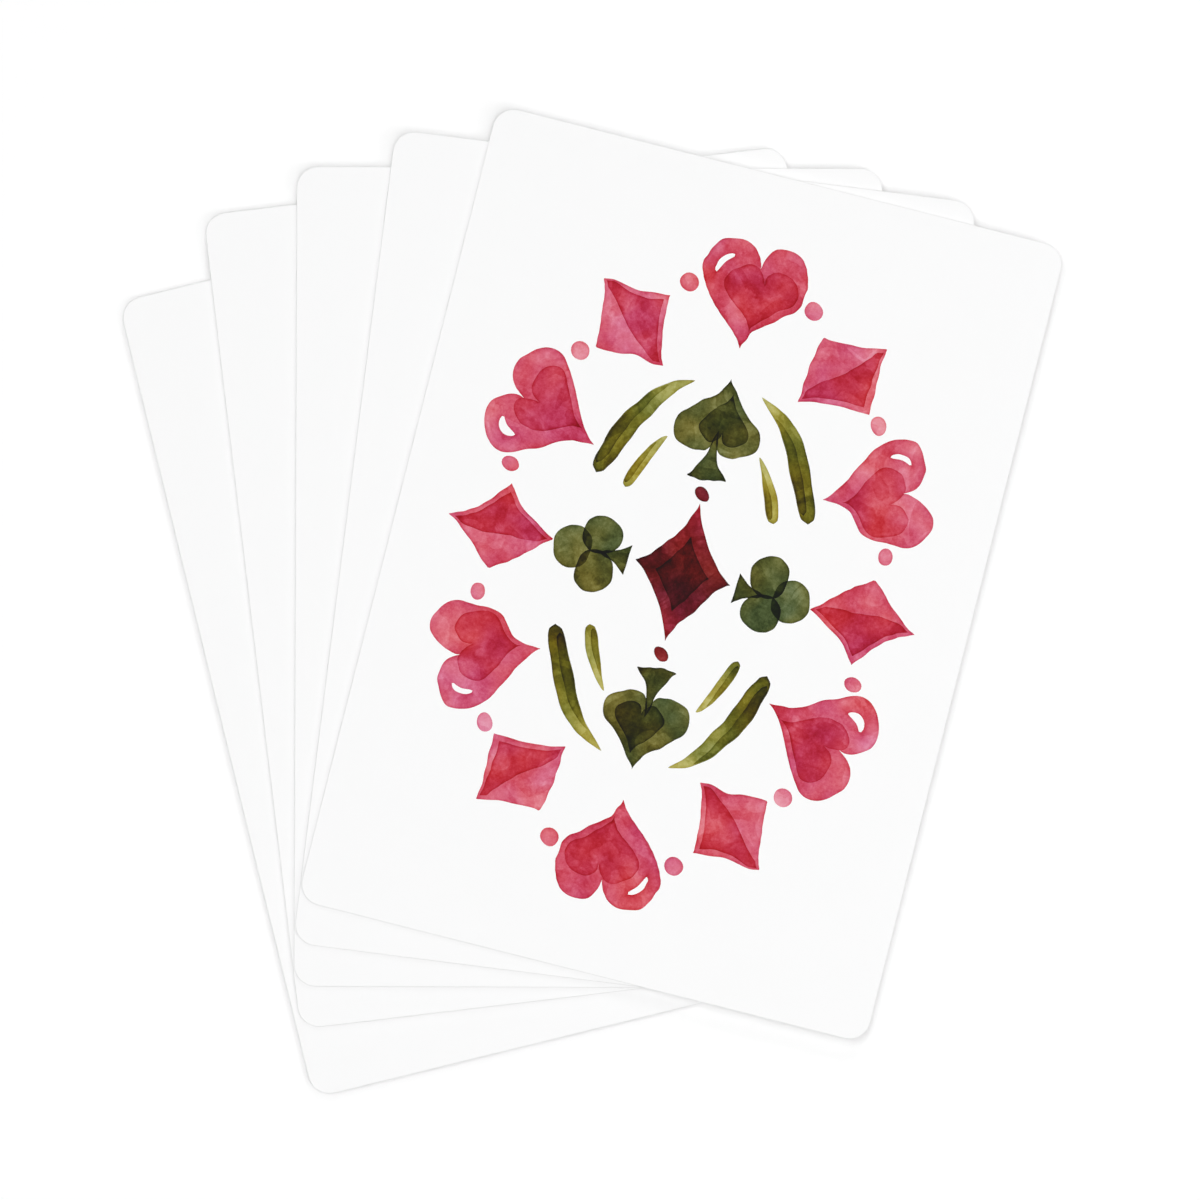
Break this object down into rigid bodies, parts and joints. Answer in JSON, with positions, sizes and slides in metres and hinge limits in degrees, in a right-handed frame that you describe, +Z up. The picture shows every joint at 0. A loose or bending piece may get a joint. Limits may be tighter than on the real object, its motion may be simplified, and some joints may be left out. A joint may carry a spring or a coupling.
{
  "type": "fan of playing cards",
  "caption": "Fan of round-cornered poker-size playing cards lying face down, each a laminate of two coated paper sheets and an opaque core, turning about a pinch point near the lower edge.",
  "frame": {"origin": "the point the cards turn about, near their lower edge, on the table under the lowest card", "axes": "+Z up out of the table, +Y along the length of the middle card away from the pivot, +X to the right seen from above"},
  "size_m": [0.1018, 0.1068, 0.0017],
  "materials": {
    "face_paper": "smooth coated paper, satin",
    "core_glue": "opaque dark glue film, matte",
    "back_paper": "smooth coated paper, satin"
  },
  "bodies": {
    "card_1": {"card_1_face_sheet": "face_paper", "card_1_core_film": "core_glue", "card_1_back_sheet": "back_paper"},
    "card_2": {"card_2_face_sheet": "face_paper", "card_2_core_film": "core_glue", "card_2_back_sheet": "back_paper"},
    "card_3": {"card_3_face_sheet": "face_paper", "card_3_core_film": "core_glue", "card_3_back_sheet": "back_paper"},
    "card_4": {"card_4_face_sheet": "face_paper", "card_4_core_film": "core_glue", "card_4_back_sheet": "back_paper"},
    "card_5": {"card_5_face_sheet": "face_paper", "card_5_core_film": "core_glue", "card_5_back_sheet": "back_paper"}
  },
  "joints": [
    {"name": "fan_card_2", "type": "hinge", "parent": "card_1", "child": "card_2", "pos_m": [0, 0, 0], "axis": [0, 0, -1], "range_deg": [-7, 18]},
    {"name": "fan_card_3", "type": "hinge", "parent": "card_2", "child": "card_3", "pos_m": [0, 0, 0], "axis": [0, 0, -1], "range_deg": [-7, 18]},
    {"name": "fan_card_4", "type": "hinge", "parent": "card_3", "child": "card_4", "pos_m": [0, 0, 0], "axis": [0, 0, -1], "range_deg": [-7, 18]},
    {"name": "fan_card_5", "type": "hinge", "parent": "card_4", "child": "card_5", "pos_m": [0, 0, 0], "axis": [0, 0, -1], "range_deg": [-7, 18]}
  ]
}
